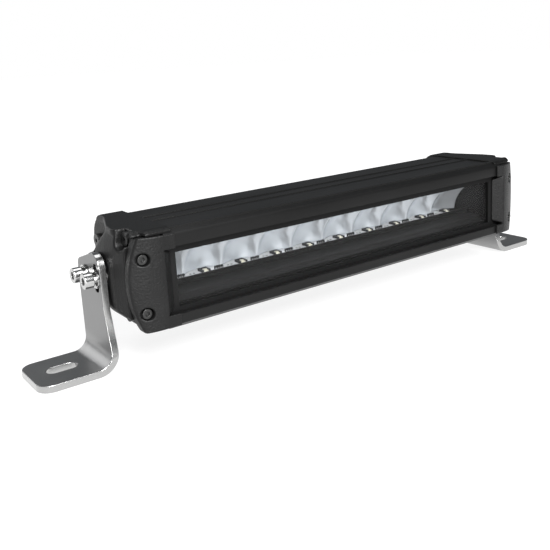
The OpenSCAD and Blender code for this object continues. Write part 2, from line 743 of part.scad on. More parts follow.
// Section of the bent plate in X and Z
module bent_section() {
    difference() {
        union() {
            translate([plate_x0, bend_r + plate_t]) square([plate_t, head_z1 - bend_r - plate_t + past]);
            translate([plate_x1 + bend_r, 0]) square([foot_reach - bend_r, plate_t]);
            intersection() {
                translate([plate_x1 + bend_r, bend_r + plate_t]) circle(r = bend_r + plate_t, $fn = 96);
                translate([plate_x0, 0]) square(bend_r + plate_t);
            }
        }
        translate([plate_x1 + bend_r, bend_r + plate_t]) circle(r = bend_r, $fn = 96);
    }
}
module arc_slot() {
    along_x(plate_x0 - past, plate_x1 + past) {
        intersection() {
            difference() {
                translate([pivot_y, pivot_z]) circle(r = clamp_r + slot_half_w, $fn = 96);
                translate([pivot_y, pivot_z]) circle(r = clamp_r - slot_half_w, $fn = 96);
            }
            translate([pivot_y, pivot_z]) polygon([[0, 0], [-40, 40 * tan(tilt)], [-40, -40 * tan(tilt)]]);
        }
    }
    for (a = [-tilt, tilt])
        rod_x(plate_x0 - past, plate_x1 + past, pivot_y - clamp_r * cos(a), pivot_z + clamp_r * sin(a), slot_half_w);
}
module bracket() {
    color(stainless) difference() {
        intersection() {
            along_y(foot_y0, foot_y1) bent_section();
            along_x(plate_x0 - past, foot_x1 + past) upright_outline();
            along_z(-past, head_z1 + past) foot_outline();
        }
        rod_x(plate_x0 - past, plate_x1 + past, pivot_y, pivot_z, screw_d / 2 + pivot_fit);
        arc_slot();
        foot_slot();
    }
}
module foot_slot() {
    half = (foot_slot_len - foot_slot_w) / 2;
    for (s = [-1, 1]) rod_z(-past, plate_t + past, foot_slot_x + s * half, foot_slot_y, foot_slot_w / 2);
    box([foot_slot_x - half, foot_slot_y - foot_slot_w / 2, -past],
        [foot_slot_x + half, foot_slot_y + foot_slot_w / 2, plate_t + past]);
}
module bracket_right() { bracket(); }
module bracket_left() { left() bracket(); }

housing();
lens();
lens_seal();
reflector_strip();
light_board();
leds();
light_board_screws();
thermal_pad();
lower_bezel();
side_trim_left();
side_trim_right();
driver_board();
driver_parts();
driver_pillars();
internal_leads();
cable_gland();
gland_nut();
gland_seal();
vent_plug();
cap_gasket_left();
cap_gasket_right();
end_cap_left();
end_cap_right();
cap_cover_left();
cap_cover_right();
cap_screws_left();
cap_screws_right();
cover_screws_left();
cover_screws_right();
inserts_left();
inserts_right();
pivot_screw_left();
pivot_screw_right();
clamp_screw_left();
clamp_screw_right();
flat_washers_left();
flat_washers_right();
spring_washers_left();
spring_washers_right();
bracket_left();
bracket_right();
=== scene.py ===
"""Looks of the LED light bar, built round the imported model.

Sizes are worked out in millimetres from the frame and turned into metres when a piece is made.
+X runs to the right along the bar, +Y to its back and +Z up.
"""

import json
import math

import bmesh
import bpy
import numpy as np
from mathutils import Matrix, Vector

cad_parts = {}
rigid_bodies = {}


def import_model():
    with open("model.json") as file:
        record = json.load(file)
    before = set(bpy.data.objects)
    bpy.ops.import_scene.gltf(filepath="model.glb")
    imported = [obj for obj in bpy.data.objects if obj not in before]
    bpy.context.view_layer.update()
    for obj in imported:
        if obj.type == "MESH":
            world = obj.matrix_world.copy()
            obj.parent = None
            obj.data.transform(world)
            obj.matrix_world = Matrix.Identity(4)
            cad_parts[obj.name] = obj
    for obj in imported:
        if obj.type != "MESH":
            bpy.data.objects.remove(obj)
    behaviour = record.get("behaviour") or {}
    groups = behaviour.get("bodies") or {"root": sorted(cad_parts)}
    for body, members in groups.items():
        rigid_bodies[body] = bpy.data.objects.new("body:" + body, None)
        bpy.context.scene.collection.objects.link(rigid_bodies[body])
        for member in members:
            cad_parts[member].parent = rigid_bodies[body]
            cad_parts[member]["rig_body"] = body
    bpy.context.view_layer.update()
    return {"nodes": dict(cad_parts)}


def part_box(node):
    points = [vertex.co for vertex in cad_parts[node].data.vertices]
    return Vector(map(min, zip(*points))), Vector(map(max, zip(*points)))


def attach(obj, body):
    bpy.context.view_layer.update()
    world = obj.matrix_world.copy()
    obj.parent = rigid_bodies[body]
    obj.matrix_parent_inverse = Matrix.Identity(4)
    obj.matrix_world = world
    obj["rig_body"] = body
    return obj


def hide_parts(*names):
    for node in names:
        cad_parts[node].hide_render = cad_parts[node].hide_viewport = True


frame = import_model()

MM = 0.001
LAMP = "lamp"
SIDES = {"left": -1, "right": 1}


def span(node):
    """Lowest and highest corner of a node, in millimetres."""
    low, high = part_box(node)
    return Vector(low) / MM, Vector(high) / MM


# ---- Sizes read from the frame ----

house_low, house_high = span("housing")
cap_low, cap_high = span("end_cap_right")
cover_low, cover_high = span("cap_cover_right")
strip_low, strip_high = span("reflector_strip")
pivot_low, pivot_high = span("pivot_screw_right")
clamp_low, clamp_high = span("clamp_screw_right")
cover_screw_low, cover_screw_high = span("cover_screws_right")

seam_x = cover_low.x
bow_x = cover_high.x
front_y = cover_low.y
back_y = cap_high.y
cap_z0 = cap_low.z
cap_z1 = cap_high.z
face_x = cap_high.x
floor_x = span("cap_gasket_right")[1].x  # floor of the pocket that takes the housing's end
pivot_y = (pivot_low.y + pivot_high.y) / 2
pivot_z = (pivot_low.z + pivot_high.z) / 2
clamp_y = (clamp_low.y + clamp_high.y) / 2
house_y0 = house_low.y
house_z0 = house_low.z
rib_rise = 0.6                          # the ribs stand above the housing's flat top
house_z1 = house_high.z - rib_rise
middle_z = (cap_z0 + cap_z1) / 2


# ---- Shapes given by a distance ----
# A shape is a function of x, y and z that is negative inside.  Its surface is found on a grid of
# cells, and each point is then moved onto the surface itself.


def soft_max(a, b, width):
    """The larger of two distances, with the edge between them rounded over a width."""
    h = np.maximum(width - np.abs(a - b), 0) / width
    return np.maximum(a, b) + h * h * width / 4


def soft_min(a, b, width):
    return -soft_max(-a, -b, width)


def slab(u, low, high):
    return np.maximum(low - u, u - high)


def rod(u, v, centre_u, centre_v, radius):
    return np.hypot(u - centre_u, v - centre_v) - radius


def outline_distance(u, v, points):
    """Signed distance in a plane from a closed outline."""
    u, v = np.broadcast_arrays(u, v)
    nearest = np.full(u.shape, np.inf)
    inside = np.zeros(u.shape, bool)
    for (u0, v0), (u1, v1) in zip(points, points[1:] + points[:1]):
        du, dv = u1 - u0, v1 - v0
        along = np.clip(((u - u0) * du + (v - v0) * dv) / (du * du + dv * dv), 0, 1)
        nearest = np.minimum(nearest, (u - u0 - along * du) ** 2 + (v - v0 - along * dv) ** 2)
        if dv:
            inside ^= ((v0 > v) != (v1 > v)) & (u < u0 + (v - v0) * du / dv)
    return np.where(inside, -1, 1) * np.sqrt(nearest)


def arc(u, v, radius, start, end, steps=8):
    angles = [math.radians(start + (end - start) * i / steps) for i in range(steps + 1)]
    return [(u + radius * math.cos(a), v + radius * math.sin(a)) for a in angles]


def rounded(corners):
    """A closed outline from (u, v, radius) corners, each rounded by an arc."""
    points = []
    for i, (u, v, radius) in enumerate(corners):
        here = Vector((u, v))
        before = (Vector(corners[i - 1][:2]) - here).normalized()
        after = (Vector(corners[(i + 1) % len(corners)][:2]) - here).normalized()
        half = before.angle(after) / 2
        if radius == 0 or half > 1.56:
            points.append((u, v))
            continue
        reach = radius / math.tan(half)
        centre = here + (before + after).normalized() * (radius / math.sin(half))
        first, last = here + before * reach - centre, here + after * reach - centre
        turn = first.angle_signed(last)
        steps = max(2, int(abs(turn) / 0.3))
        for k in range(steps + 1):
            swing = Matrix.Rotation(-turn * k / steps, 2) @ first
            points.append(tuple(centre + swing))
    return points


def surface(shape, low, high, cell):
    """Points and four-sided faces of a shape between two corners."""
    axes = [np.arange(a - 2 * cell, b + 3 * cell, cell) for a, b in zip(low, high)]
    grid = np.meshgrid(*axes, indexing="ij", sparse=True)
    values = np.broadcast_to(shape(*grid), [len(a) for a in axes]) + 1e-9
    count = [n - 1 for n in values.shape]

    def corner(i, j, k):
        return values[i:i + count[0], j:j + count[1], k:k + count[2]]

    total = np.zeros([*count, 3])
    crossings = np.zeros(count)
    for axis in range(3):
        others = [a for a in range(3) if a != axis]
        for offset in ((0, 0), (0, 1), (1, 0), (1, 1)):
            start = [0, 0, 0]
            start[others[0]], start[others[1]] = offset
            end = list(start)
            end[axis] = 1
            a, b = corner(*start), corner(*end)
            crossed = (a < 0) != (b < 0)
            share = np.where(crossed, a / np.where(crossed, a - b, 1), 0)
            for k in range(3):
                total[..., k] += crossed * (start[k] + (share if k == axis else 0))
            crossings += crossed
    kept = crossings > 0
    number = np.full(count, -1)
    number[kept] = np.arange(kept.sum())
    cells = np.argwhere(kept)
    origin = np.array([a[0] for a in axes])
    points = origin + (cells + total[kept] / crossings[kept][:, None]) * cell

    faces = []
    for axis in range(3):
        b, c = (axis + 1) % 3, (axis + 2) % 3
        inner = [slice(1, n) for n in count]
        inner[axis] = slice(0, count[axis])
        ahead = list(inner)
        ahead[axis] = slice(1, count[axis] + 1)
        here, there = values[tuple(inner)] < 0, values[tuple(ahead)] < 0
        for leaving, order in ((here & ~there, 1), (~here & there, -1)):
            spot = np.argwhere(leaving)
            for a in range(3):
                spot[:, a] += 0 if a == axis else 1
            ring = []
            for step_b, step_c in ((0, 0), (-1, 0), (-1, -1), (0, -1))[::order]:
                near = spot.copy()
                near[:, b] += step_b
                near[:, c] += step_c
                ring.append(number[near[:, 0], near[:, 1], near[:, 2]])
            faces.append(np.stack(ring, 1))
    return settle(shape, points), np.concatenate(faces)


def settle(shape, points, rounds=2, reach=0.05):
    """Moves points onto the surface of a shape, along its slope."""
    for _ in range(rounds):
        x, y, z = points.T
        value = shape(x, y, z)
        slope = np.stack([
            shape(x + reach, y, z) - shape(x - reach, y, z),
            shape(x, y + reach, z) - shape(x, y - reach, z),
            shape(x, y, z + reach) - shape(x, y, z - reach)], 1) / (2 * reach)
        size = np.maximum((slope ** 2).sum(1), 0.25)
        points = points - np.clip(value / size, -0.3, 0.3)[:, None] * slope
    return points


# ---- Making pieces ----

SHARP_ANGLE = 32  # edges sharper than this are rounded


def mesh_piece(name, points, faces, body, material, replaces=(), smooth=True):
    """An object from points in millimetres, riding on a body."""
    mesh = bpy.data.meshes.new(name)
    mesh.from_pydata([tuple(p) for p in np.asarray(points) * MM], [], [tuple(f) for f in faces])
    mesh.update()
    return finish_piece(name, mesh, body, material, replaces, smooth)


def finish_piece(name, mesh, body, material, replaces=(), smooth=True):
    made = bpy.data.objects.new(name, mesh)
    bpy.context.scene.collection.objects.link(made)
    mesh.materials.append(material)
    if smooth:
        mesh.shade_smooth()
    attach(made, body)
    if replaces:
        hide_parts(*replaces)
    return made


def grown(shape, low, high, cell, side):
    """Points and faces of a shape, drawn for the right-hand end and mirrored for the left."""
    points, faces = surface(shape, low, high, cell)
    points = np.clip(points, low, high)
    if side < 0:
        points = points * [-1, 1, 1]
        faces = faces[:, ::-1]
    return points, faces


def softened(node, width, material, name, segments=2):
    """A copy of a node with its edges rounded, in the node's place."""
    source = frame["nodes"][node]
    work = bmesh.new()
    work.from_mesh(source.data)
    bmesh.ops.remove_doubles(work, verts=work.verts, dist=1e-6)
    bmesh.ops.dissolve_limit(work, angle_limit=math.radians(0.7), verts=work.verts, edges=work.edges)
    mesh = bpy.data.meshes.new(name)
    work.to_mesh(mesh)
    work.free()
    made = bpy.data.objects.new(name, mesh)
    bpy.context.scene.collection.objects.link(made)
    bevel = made.modifiers.new("edges", "BEVEL")
    bevel.width = width * MM
    bevel.segments = segments
    bevel.limit_method = "ANGLE"
    bevel.angle_limit = math.radians(SHARP_ANGLE)
    bevel.use_clamp_overlap = False
    bevel.harden_normals = False
    bevel.miter_outer = "MITER_ARC"
    evaluated = made.evaluated_get(bpy.context.evaluated_depsgraph_get())
    result = bpy.data.meshes.new_from_object(evaluated)
    bpy.data.objects.remove(made)
    bpy.data.meshes.remove(mesh)
    result.name = name
    result.materials.clear()
    made = finish_piece(name, result, source["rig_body"], material, [node])
    weighted = made.modifiers.new("normals", "WEIGHTED_NORMAL")
    weighted.keep_sharp = True
    weighted.weight = 100
    return made


# ---- Shader arithmetic ----


class Value:
    """A number on a shader socket that takes part in plain arithmetic."""

    def __init__(self, finish, socket):
        self.finish = finish
        self.socket = socket

    def _math(self, operation, a, b):
        return self.finish.node("ShaderNodeMath", {"operation": operation}, {0: a, 1: b})

    def __add__(self, other):
        return self._math("ADD", self, other)

    def __radd__(self, other):
        return self._math("ADD", other, self)

    def __mul__(self, other):
        return self._math("MULTIPLY", self, other)

    def __rmul__(self, other):
        return self._math("MULTIPLY", other, self)

    def __truediv__(self, other):
        return self._math("DIVIDE", self, other)

    def __rtruediv__(self, other):
        return self._math("DIVIDE", other, self)


class Finish:
    """A material with one shader, and the nodes that vary it over a surface."""

    def __init__(self, name, colour, roughness, **constants):
        self.material = bpy.data.materials.new(name)
        self.material.use_nodes = True
        self.tree = self.material.node_tree
        self.shader = self.tree.nodes["Principled BSDF"]
        self.set("Base Color", (*colour, 1))
        self.set("Roughness", roughness)
        for socket, value in constants.items():
            self.set(socket.replace("_", " "), value)
        self.places = self.node("ShaderNodeTexCoord", output="Object")

    def set(self, socket, value):
        if isinstance(value, Value):
            self.tree.links.new(value.socket, self.shader.inputs[socket])
        else:
            self.shader.inputs[socket].default_value = value

    def node(self, kind, settings=None, inputs=None, output=0):
        made = self.tree.nodes.new(kind)
        for key, value in (settings or {}).items():
            if key == "stops":
                ramp = made.color_ramp
                while len(ramp.elements) < len(value):
                    ramp.elements.new(0.5)
                for element, (place, colour) in zip(ramp.elements, value):
                    element.position = place
                    element.color = (*colour, 1)
            else:
                setattr(made, key, value)
        for key, value in (inputs or {}).items():
            if isinstance(value, Value):
                self.tree.links.new(value.socket, made.inputs[key])
            else:
                made.inputs[key].default_value = value
        return Value(self, made.outputs[output])

    def noise(self, size, detail=2, stretch=(1, 1, 1)):
        """Noise whose features are about a size in millimetres, stretched along the axes."""
        squeeze = [1 / s for s in stretch]
        where = self.node("ShaderNodeMapping", {}, {"Vector": self.places, "Scale": squeeze})
        inputs = {"Vector": where, "Scale": 1 / (size * MM), "Detail": detail}
        return self.node("ShaderNodeTexNoise", {}, inputs)

    def ramp(self, value, stops):
        return self.node("ShaderNodeValToRGB", {"stops": stops}, {"Fac": value})

    def tint(self, value, low, high, first, last):
        """Colour that goes from first to last as a value goes from low to high."""
        self.set("Base Color", self.ramp(value, [(low, first), (high, last)]))

    def rough(self, value, low, high):
        self.set("Roughness", value * (high - low) + low)

    def bump(self, value, depth):
        """Relief of a depth in millimetres."""
        inputs = {"Height": value, "Distance": depth * MM, "Strength": 1.0}
        self.set("Normal", self.node("ShaderNodeBump", {}, inputs))


NOISE_SPAN = (0.3, 0.7)  # where most values of a noise lie


def grey(value):
    return (value, value, value)


def satin_black(name, level, roughness, grain, depth):
    """Black paint or moulding with a fine even grain and slight unevenness."""
    made = Finish(name, grey(level), roughness, Specular_IOR_Level=0.2)
    fine = made.noise(grain, 4)
    broad = made.noise(14, 2)
    made.tint(broad, *NOISE_SPAN, grey(level * 0.85), grey(level * 1.2))
    made.rough(broad * 0.5 + fine * 0.5, roughness - 0.06, roughness + 0.06)
    made.bump(fine, depth)
    return made.material


def extruded_black():
    """Anodised extrusion: faint lines drawn along the bar."""
    made = Finish("anodised_black_extrusion", grey(0.003), 0.4, Specular_IOR_Level=0.16)
    drawn = made.noise(0.5, 2, (60, 1, 1))
    broad = made.noise(20, 2, (4, 1, 1))
    made.tint(broad, *NOISE_SPAN, grey(0.003), grey(0.006))
    made.rough(drawn, 0.33, 0.47)
    made.bump(drawn, 0.02)
    return made.material


def brushed(name, level, roughness, along, depth):
    """Stainless sheet with brush lines along one axis, with painted light on its foot and painted shade
    up its upright.
    """
    made = Finish(name, (level, level, level * 0.985), roughness, Metallic=1)
    line_length = 45
    stretch = [1, 1, 1]
    stretch[along] = line_length
    lines = made.noise(0.35, 3, stretch)
    cloud = made.noise(12, 3)
    # The colour is painted lighter low down and darker higher up, as painted light on the foot and
    # painted shade on the upright, mixed with the sheet's own random tone from the noise.
    painted_shade_height = 24 * MM
    high = made.node("ShaderNodeSeparateXYZ", {}, {0: made.places}, output=2) / painted_shade_height
    shade = high + (cloud * 0.6 + lines * 0.4) * 0.15
    made.tint(shade, 0.3, 0.75, grey(level * 1.3), grey(level * 0.85))
    made.rough(lines * 0.6 + cloud * 0.4, roughness - 0.07, roughness + 0.09)
    made.bump(lines, depth)
    return made.material


def bright_steel(name, level, roughness):
    made = Finish(name, (level, level, level * 0.99), roughness, Metallic=1)
    marks = made.noise(1.1, 3)
    made.rough(marks, roughness - 0.05, roughness + 0.08)
    made.bump(marks, 0.015)
    return made.material


def plain(name, colour, roughness, size=2.0, depth=0.02, **constants):
    """A moulded or printed surface with slight unevenness."""
    made = Finish(name, colour, roughness, **constants)
    cloud = made.noise(size, 2)
    darker = tuple(c * 0.9 for c in colour)
    lighter = tuple(min(1, c * 1.08) for c in colour)
    made.tint(cloud, *NOISE_SPAN, darker, lighter)
    made.rough(cloud, roughness - 0.05, roughness + 0.05)
    made.bump(cloud, depth)
    return made.material


def clear_cover():
    made = Finish("clear_polycarbonate", grey(0.02), 0.04, Specular_IOR_Level=0.5)
    made.set("Alpha", 0.1)
    return made.material


def plated():
    """Vacuum-plated reflector."""
    made = Finish("vacuum_plated", (0.92, 0.96, 1.0), 0.1, Metallic=0.45)
    cloud = made.noise(6, 2)
    made.rough(cloud, 0.04, 0.12)
    made.bump(cloud, 0.008)
    return made.material


FINISH = {
    "extrusion": extruded_black(),
    "casting": satin_black("cast_cap_black", 0.0025, 0.44, 1.0, 0.2),
    "cover": satin_black("textured_cover_black", 0.005, 0.4, 1.0, 0.34),
    "rubber": satin_black("seal_rubber", 0.002, 0.62, 0.4, 0.02),
    "inside": satin_black("black_moulding", 0.005, 0.42, 0.5, 0.02),
    "lens": clear_cover(),
    "mirror": plated(),
    "board": plain("white_solder_mask", (0.88, 0.89, 0.9), 0.4),
    "phosphor": plain("led_phosphor", (0.92, 0.9, 0.76), 0.4),
    "pad": plain("grey_thermal_pad", (0.3, 0.32, 0.36), 0.8),
    "green": plain("green_board", (0.02, 0.12, 0.05), 0.4),
    "parts": plain("dark_components", (0.02, 0.02, 0.022), 0.45),
    "lead": plain("red_lead", (0.4, 0.02, 0.02), 0.5),
    "nylon": satin_black("black_nylon", 0.015, 0.5, 0.6, 0.03),
    "steel": bright_steel("bright_stainless", 0.5, 0.17),
    "dark_steel": bright_steel("dark_screw_steel", 0.06, 0.35),
    "brass": bright_steel("brass_insert", 0.5, 0.3),
    "plate": brushed("brushed_stainless", 0.24, 0.34, 2, 0.03),
    "edge": bright_steel("cut_edge_stainless", 0.42, 0.18),
}


# ---- End caps ----

cap_corner = 15
recess_x = face_x - 13                  # side of the cap behind its raised shield
edge_y = front_y + 12                   # back edge of the cover
bow_radius = 65                         # of the cap's and the cover's bowed outer edge
cap_side = (
    [(front_y + 6.6, cap_z0 + 3), (front_y + 6.6, cap_z1 - 2.75), (front_y + 2.8, cap_z1 - 2.7),
     (front_y + 2.8, cap_z1 - 1.7), (front_y + 5, cap_z1 - 0.6), (front_y + 10.2, cap_z1 - 0.5),
     (front_y + 11.6, cap_z1)]
    + arc(back_y - cap_corner, cap_z1 - cap_corner, cap_corner, 90, 0)
    + arc(back_y - cap_corner - 3, cap_z0 + cap_corner + 3, cap_corner + 3, 0, -90)
    + [(front_y + 12, cap_z0)])
shield_side = rounded([
    (front_y + 6.6, cap_z0 + 6, 0), (front_y + 6.6, cap_z1 - 2, 0), (front_y + 9, cap_z1, 0),
    (pivot_y - 15, cap_z1 - 1, 3), (pivot_y, cap_z1 - 16, 8), (pivot_y + 10.5, pivot_z + 8, 5),
    (pivot_y + 11.5, pivot_z - 7, 5), (pivot_y + 2, pivot_z - 14, 6), (pivot_y - 9, pivot_z - 16, 6),
    (front_y + 11, cap_z0 + 8.5, 4)])
cap_plan = rounded([
    (seam_x - 4, front_y + 2, 0), (face_x - 7, front_y + 2, 0), (bow_x - 1, edge_y, 5),
    (face_x - 1.2, edge_y + 10, 8), (face_x, pivot_y - 16, 10), (face_x, back_y, 0),
    (seam_x - 4, back_y, 0)])
deck_plan = rounded([
    (seam_x - 4, front_y + 2.8, 0), (face_x - 12.5, front_y + 2.8, 1.5), (face_x - 9.2, front_y + 12, 1),
    (face_x - 8.6, front_y + 19, 1), (face_x - 3.6, front_y + 20.5, 2), (face_x - 2.6, front_y + 24, 5),
    (face_x - 4, front_y + 33, 8), (recess_x, back_y - 18, 10), (recess_x, back_y - 6, 3),
    (seam_x - 4, back_y - 6, 0)])


def house_outline(grow):
    """Outline of the housing, for the pocket in a cap."""
    y1 = house_high.y
    bend = 16                           # radius of the outline's back corners
    return (
        [(house_y0 - grow, house_z0 + 2.5), (house_y0 - grow, house_z1 - 3.8),
         (house_y0 + 1, house_z1 - 1.9 + grow), (house_y0 + 4, house_z1 + grow)]
        + arc(y1 - bend, house_z1 - bend, bend + grow, 90, 0)
        + arc(y1 - bend, house_z0 + bend, bend + grow, 0, -90)
        + [(house_y0 + 3.5, house_z0 - grow)])


notch_y = front_y + 16
notch_z = cap_z1 - 6.2
notch_r = 4
notch_x = face_x - 9                    # how far in the notch goes
deck_depth = 3
dimple_places = [(front_y + 44.5, cap_z1 - 16), (front_y + 44.5, cap_z0 + 16)]
dimple_r = 1
screw_bore_r = 3.6
screw_bore_depth = 12
cover_seat_z0 = cap_z0 + 1
cover_seat_z1 = cap_z1 - 2.75
cover_gap = 0.15
cover_screw_x = (cover_screw_low.x + cover_screw_high.x) / 2
cover_screw_zs = [cap_z0 + 13.4, cap_z1 - 14.3]


def bow(x, z, grow=0.0):
    """Distance from the arc that bows a cap and its cover outward."""
    return rod(x, z, bow_x - bow_radius, middle_z, bow_radius + grow)


def cover_back(x):
    """Back of the cover: flat, then swept back towards the bracket."""
    return front_y + 6.1 + np.clip((x - bow_x + 10) * 0.98, 0, 5.9)


def cap_shape(x, y, z):
    body = soft_max(outline_distance(y, z, cap_side), x - recess_x, 2.0)
    shield = soft_max(outline_distance(y, z, shield_side), outline_distance(x, y, cap_plan), 3.0)
    shield = soft_max(shield, bow(x, z, face_x - bow_x + 1.5), 2.5)
    deck = soft_max(outline_distance(x, y, deck_plan), outline_distance(y, z, cap_side), 1.0)
    deck = np.maximum(deck, cap_z1 - deck_depth - z)
    whole = np.maximum(soft_min(soft_min(body, shield, 2.0), deck, 1.2), seam_x - x)
    pocket = np.maximum(outline_distance(y, z, house_outline(-0.5)), x - floor_x)
    notch = np.maximum(slab(y, notch_y - notch_r, notch_y + notch_r), notch_z - z)
    notch = np.minimum(rod(y, z, notch_y, notch_z, notch_r), notch)
    notch = np.maximum(notch, notch_x - x)
    whole = soft_max(soft_max(whole, -notch, 1.4), -pocket, 0.5)
    for place_y, place_z in dimple_places:
        dimple = np.maximum(rod(y, z, place_y, place_z, dimple_r), recess_x - 1 - x)
        whole = soft_max(whole, -dimple, 0.8)
    for place in (pivot_y, clamp_y):
        bore = np.maximum(rod(y, z, place, pivot_z, screw_bore_r), face_x - screw_bore_depth - x)
        whole = np.maximum(whole, -bore)
    seat = np.maximum(slab(z, cover_seat_z0, cover_seat_z1), y - cover_back(x) - cover_gap)
    return soft_max(whole, -seat, 0.3)


# ---- Covers ----

flank_w = 6.4                           # sloped side of the window
ridge_x = seam_x + 0.5 + flank_w
front_sweep = 7
window_h = 37.2
window_z0 = house_z0 + 7.9
window_z1 = window_z0 + window_h
opening_z0 = window_z0 + 1
opening_z1 = window_z1 - 0.5
cover_seat_r = 3.4
cover_seat_depth = 1.9
cover_bore_r = 1.7


def cover_front(x):
    """Front surface of the cover at a distance from the middle."""
    return front_y + front_sweep * (np.maximum(0, x - ridge_x) / (bow_x - ridge_x)) ** 1.6


def cover_shape(x, y, z):
    front = (cover_front(x) - y) * 0.93
    back = y - cover_back(x)
    whole = soft_max(front, back, 0.8)
    whole = soft_max(whole, bow(x, z), 1.3)
    whole = soft_max(whole, cover_low.z - z, 1.2)
    whole = soft_max(whole, z - cover_high.z, 0.5)
    inward = np.clip((ridge_x - x) / flank_w, 0, 1)
    slope = (front_y + 6 * (ridge_x - x) / flank_w - y) * 0.73
    in_window = slab(z, opening_z0 + 2.6 * inward ** 0.7, opening_z1 - 3 * inward)
    beside = soft_max(np.maximum(soft_max(whole, slope, 0.6), seam_x + 0.5 - x), in_window, 0.8)
    tab = np.maximum(soft_max(whole, y - (house_y0 - 0.15), 0.3), seam_x - x)
    tab = np.maximum(tab, -slab(z, opening_z0, opening_z1))
    whole = np.minimum(np.maximum(whole, ridge_x - x), np.minimum(beside, tab))
    chamfer = ((cover_low.z + 1.2 - z) - (y - front_y) * 0.4) * 0.93
    whole = soft_max(whole, chamfer, 0.8)
    for place in cover_screw_zs:
        seat = rod(x, z, cover_screw_x, place, cover_seat_r)
        seat = np.maximum(seat, y - cover_screw_low.y - cover_seat_depth)
        whole = soft_max(whole, -seat, 0.7)
        whole = np.maximum(whole, -rod(x, z, cover_screw_x, place, cover_bore_r))
    return whole


cap_cell = 0.56
cover_cell = 0.4

for side, sign in SIDES.items():
    points, faces = grown(cap_shape, cap_low, cap_high, cap_cell, sign)
    mesh_piece("cast_cap_" + side, points, faces, LAMP, FINISH["casting"],
               ["end_cap_" + side])
    points, faces = grown(cover_shape, cover_low, cover_high, cover_cell, sign)
    mesh_piece("bowed_cover_" + side, points, faces, LAMP, FINISH["cover"],
               ["cap_cover_" + side])


# ---- Reflector ----

cup_pitch = 26.4
cup_count = round((strip_high.x - strip_low.x) / cup_pitch)
cup_focus = 8
cup_vertex_y = strip_high.y - 3.6
board_top = span("light_board")[1].z
led_y = cup_vertex_y - cup_focus
cusp_width = 0.7
plating_wall = 1.0


def reflector():
    """One wall of half-round cups, open at the front."""
    across = 32
    up = 34
    columns = cup_count * across + 1
    points = []
    for j in range(up + 1):
        z = strip_low.z + (strip_high.z - strip_low.z) * j / up
        for i in range(columns):
            x = strip_low.x + (strip_high.x - strip_low.x) * i / (columns - 1)
            u = (x - strip_low.x) % cup_pitch - cup_pitch / 2
            beyond = np.hypot(cup_pitch / 2 - abs(u), cusp_width) - cusp_width
            u = cup_pitch / 2 - beyond
            y = cup_vertex_y - (u * u + (z - board_top) ** 2) / (4 * cup_focus)
            points.append((x, max(y, strip_low.y), z))
    faces = [
        (j * columns + i, j * columns + i + 1, (j + 1) * columns + i + 1, (j + 1) * columns + i)
        for j in range(up) for i in range(columns - 1)]
    made = mesh_piece("plated_cups", points, faces, LAMP, FINISH["mirror"],
                      ["reflector_strip"])
    shell = made.modifiers.new("wall", "SOLIDIFY")
    shell.thickness = plating_wall * MM
    shell.offset = -1


reflector()

# ---- Repeating pieces ----


class Tree:
    """Geometry nodes with named sizes, ending in plain faces with a material."""

    def __init__(self, name, sizes):
        self.group = bpy.data.node_groups.new(name, "GeometryNodeTree")
        self.group.interface.new_socket("Geometry", in_out="OUTPUT", socket_type="NodeSocketGeometry")
        self.keys = {}
        for size, kind in sizes.items():
            made = self.group.interface.new_socket(size, in_out="INPUT", socket_type="NodeSocket" + kind)
            self.keys[size] = made.identifier
        self.start = self.group.nodes.new("NodeGroupInput")

    def size(self, name):
        return self.start.outputs[name]

    def node(self, kind, inputs=None, settings=None, output=0):
        made = self.group.nodes.new(kind)
        for key, value in (settings or {}).items():
            setattr(made, key, value)
        for key, value in (inputs or {}).items():
            if isinstance(value, bpy.types.NodeSocket):
                self.group.links.new(value, made.inputs[key])
            else:
                made.inputs[key].default_value = value
        return made.outputs[output]

    def close(self, geometry):
        real = self.node("GeometryNodeRealizeInstances", {"Geometry": geometry})
        done = self.node("GeometryNodeSetMaterial", {"Geometry": real, "Material": self.size("Material")})
        end = self.group.nodes.new("NodeGroupOutput")
        self.group.links.new(done, end.inputs["Geometry"])
        return self

    def grow(self, name, finish, **sizes):
        """A plain mesh of the tree for some sizes."""
        holder = bpy.data.objects.new(name, bpy.data.meshes.new(name + "_seed"))
        bpy.context.scene.collection.objects.link(holder)
        modifier = holder.modifiers.new("repeat", "NODES")
        modifier.node_group = self.group
        modifier[self.keys["Material"]] = finish
        for size, value in sizes.items():
            modifier[self.keys[size.replace("_", " ")]] = value
        evaluated = holder.evaluated_get(bpy.context.evaluated_depsgraph_get())
        mesh = bpy.data.meshes.new_from_object(evaluated)
        bpy.data.objects.remove(holder)
        return mesh


def block_row():
    """Blocks in short rows, and the rows repeated along the bar."""
    tree = Tree("rows_of_blocks", {
        "Rows": "Int", "Row Pitch": "Float", "Blocks": "Int", "Block Pitch": "Float",
        "Place": "Vector", "Block Size": "Vector", "Material": "Material"})
    block = tree.node("GeometryNodeMeshCube", {"Size": tree.size("Block Size")})
    along = tree.node("ShaderNodeCombineXYZ", {"X": tree.size("Block Pitch")})
    row = tree.node("GeometryNodeMeshLine", {"Count": tree.size("Blocks"), "Offset": along})
    few = tree.node("GeometryNodeInstanceOnPoints", {"Points": row, "Instance": block})
    step = tree.node("ShaderNodeCombineXYZ", {"X": tree.size("Row Pitch")})
    rows = tree.node("GeometryNodeMeshLine", {
        "Count": tree.size("Rows"), "Start Location": tree.size("Place"), "Offset": step})
    return tree.close(tree.node("GeometryNodeInstanceOnPoints", {"Points": rows, "Instance": few}))


